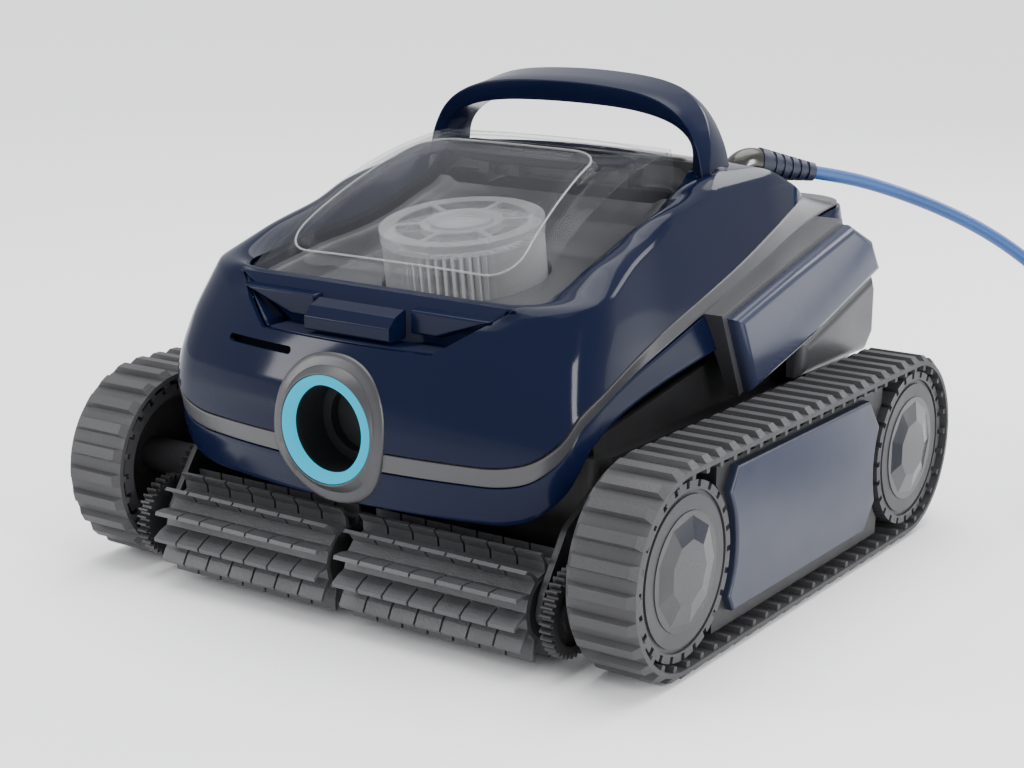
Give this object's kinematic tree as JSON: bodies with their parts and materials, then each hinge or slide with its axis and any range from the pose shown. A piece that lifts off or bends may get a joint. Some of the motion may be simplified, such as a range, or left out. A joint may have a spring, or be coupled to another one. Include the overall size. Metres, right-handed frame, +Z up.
{
  "type": "pool cleaner",
  "caption": "Tracked robotic pool cleaner: bowed glossy body, clear hinged lid over a pleated filter, roller brushes, lit front port, carrying handle, corded supply.",
  "frame": {"origin": "on the floor, midway between the two tracks and between the front and rear axles", "axes": "+Z up, the brushes and the lit port face -Y, +X is the machine's left seen from behind it, which is the right-hand side seen from the front"},
  "size_m": [0.7696, 0.6022, 0.325],
  "materials": {
    "navy_gloss": "gloss, dark navy",
    "navy_satin": "satin, dark navy",
    "fin_gloss": "gloss, greyed navy",
    "grey_satin": "satin grey",
    "bezel_grey": "satin dark grey",
    "slate_satin": "satin slate blue",
    "ring_light": "lit diffuser, cyan",
    "dark_window": "gloss, nearly black",
    "clear_lid": "clear polycarbonate",
    "clear_frame": "clear moulded plastic",
    "tray_grey": "satin grey",
    "filter_medium": "pleated filter cloth",
    "black_plastic": "matt, nearly black",
    "motor_grey": "potted housing",
    "white_plastic": "natural nylon",
    "seal_rubber": "soft rubber",
    "track_rubber": "moulded rubber, mid grey",
    "brush_rubber": "moulded rubber, dark grey",
    "brush_core": "matt black",
    "wheel_grey": "satin grey",
    "cap_translucent": "translucent grey",
    "steel": "stainless",
    "bronze_grey": "dark bronze grey",
    "boot_rubber": "dark navy rubber",
    "cable_blue": "mid blue jacket",
    "tie_black": "woven hook and loop",
    "connector_black": "matt black"
  },
  "bodies": {
    "hull": {"axles": "steel", "base_tub": "black_plastic", "brush_bracket": "black_plastic", "brush_shaft": "steel", "cable_elbow": "bronze_grey", "control_box": "motor_grey", "cord_coil": "cable_blue", "cord_run": "cable_blue", "cord_tie": "tie_black", "drive_motors": "motor_grey", "filter_cap": "clear_frame", "filter_frame": "clear_frame", "filter_pleats": "filter_medium", "filter_tray": "tray_grey", "fin_panel_left": "fin_gloss", "fin_panel_right": "fin_gloss", "fin_trims": "grey_satin", "front_bezel": "bezel_grey", "handle": "navy_satin", "hinge_pins": "steel", "hinge_rail": "black_plastic", "inner_deck": "black_plastic", "latch_housing": "navy_gloss", "led_ring": "ring_light", "lower_shell": "navy_gloss", "port_duct": "black_plastic", "power_connector": "connector_black", "pump_motor": "motor_grey", "pump_volute": "black_plastic", "rear_housing": "grey_satin", "screws": "steel", "sensor_window": "dark_window", "side_cover_left": "slate_satin", "side_cover_right": "slate_satin", "strain_relief": "boot_rubber", "track_belt_left": "track_rubber", "track_belt_right": "track_rubber", "track_frame_left": "black_plastic", "track_frame_right": "black_plastic", "trim_band": "grey_satin", "upper_shell": "navy_gloss"},
    "front_left_wheel": {"wheel_front_left": "wheel_grey", "hub_cap_front_left": "cap_translucent"},
    "rear_left_wheel": {"wheel_rear_left": "wheel_grey", "hub_cap_rear_left": "cap_translucent"},
    "left_brush": {"brush_core_left": "brush_core", "brush_blades_left": "brush_rubber"},
    "left_pinion": {"pinion_left": "white_plastic"},
    "front_right_wheel": {"wheel_front_right": "wheel_grey", "hub_cap_front_right": "cap_translucent"},
    "rear_right_wheel": {"wheel_rear_right": "wheel_grey", "hub_cap_rear_right": "cap_translucent"},
    "right_brush": {"brush_core_right": "brush_core", "brush_blades_right": "brush_rubber"},
    "right_pinion": {"pinion_right": "white_plastic"},
    "lid_cover": {"lid": "clear_lid"},
    "release_button": {"latch_button": "navy_gloss"},
    "pump_rotor": {"impeller": "white_plastic"},
    "mouth_flap": {"intake_flap": "seal_rubber"}
  },
  "joints": [
    {"name": "rear_left_wheel_spin", "type": "hinge", "parent": "hull", "child": "rear_left_wheel", "pos_m": [-0.197, 0.16, 0.066], "axis": [1, 0, 0], "continuous": true},
    {"name": "front_left_wheel_spin", "type": "hinge", "parent": "hull", "child": "front_left_wheel", "pos_m": [-0.197, -0.16, 0.066], "axis": [1, 0, 0], "continuous": true},
    {"name": "left_brush_spin", "type": "hinge", "parent": "hull", "child": "left_brush", "pos_m": [-0.075, -0.19189, 0.03867], "axis": [1, 0, 0], "continuous": true},
    {"name": "left_pinion_spin", "type": "hinge", "parent": "hull", "child": "left_pinion", "pos_m": [-0.158, 0.13674, 0.07447], "axis": [1, 0, 0], "continuous": true},
    {"name": "rear_right_wheel_spin", "type": "hinge", "parent": "hull", "child": "rear_right_wheel", "pos_m": [0.197, 0.16, 0.066], "axis": [1, 0, 0], "continuous": true},
    {"name": "front_right_wheel_spin", "type": "hinge", "parent": "hull", "child": "front_right_wheel", "pos_m": [0.197, -0.16, 0.066], "axis": [1, 0, 0], "continuous": true},
    {"name": "right_brush_spin", "type": "hinge", "parent": "hull", "child": "right_brush", "pos_m": [0.075, -0.19189, 0.03867], "axis": [1, 0, 0], "continuous": true},
    {"name": "right_pinion_spin", "type": "hinge", "parent": "hull", "child": "right_pinion", "pos_m": [0.158, 0.13674, 0.07447], "axis": [1, 0, 0], "continuous": true},
    {"name": "lid_hinge", "type": "hinge", "parent": "hull", "child": "lid_cover", "pos_m": [0, 0.03, 0.266], "axis": [-1, 0, 0], "range_deg": [0, 55]},
    {"name": "lid_release", "type": "slide", "parent": "hull", "child": "release_button", "axis": [0, 1, 0], "range_m": [0, 0.004], "stiffness_N_per_m": 400, "springref_m": -0.001},
    {"name": "pump_spin", "type": "hinge", "parent": "hull", "child": "pump_rotor", "pos_m": [0, 0.086, 0.058], "axis": [0, 0, 1], "continuous": true},
    {"name": "mouth_flap_hinge", "type": "hinge", "parent": "hull", "child": "mouth_flap", "pos_m": [0, -0.096, 0.037], "axis": [-1, 0, 0], "range_deg": [0, 60]}
  ],
  "couplings": [
    {"joint": "front_left_wheel_spin", "follows": "rear_left_wheel_spin", "ratio": 1},
    {"joint": "left_brush_spin", "follows": "rear_left_wheel_spin", "ratio": -0.6},
    {"joint": "left_pinion_spin", "follows": "rear_left_wheel_spin", "ratio": -1.75},
    {"joint": "front_right_wheel_spin", "follows": "rear_right_wheel_spin", "ratio": 1},
    {"joint": "right_brush_spin", "follows": "rear_right_wheel_spin", "ratio": -0.6},
    {"joint": "right_pinion_spin", "follows": "rear_right_wheel_spin", "ratio": -1.75}
  ]
}
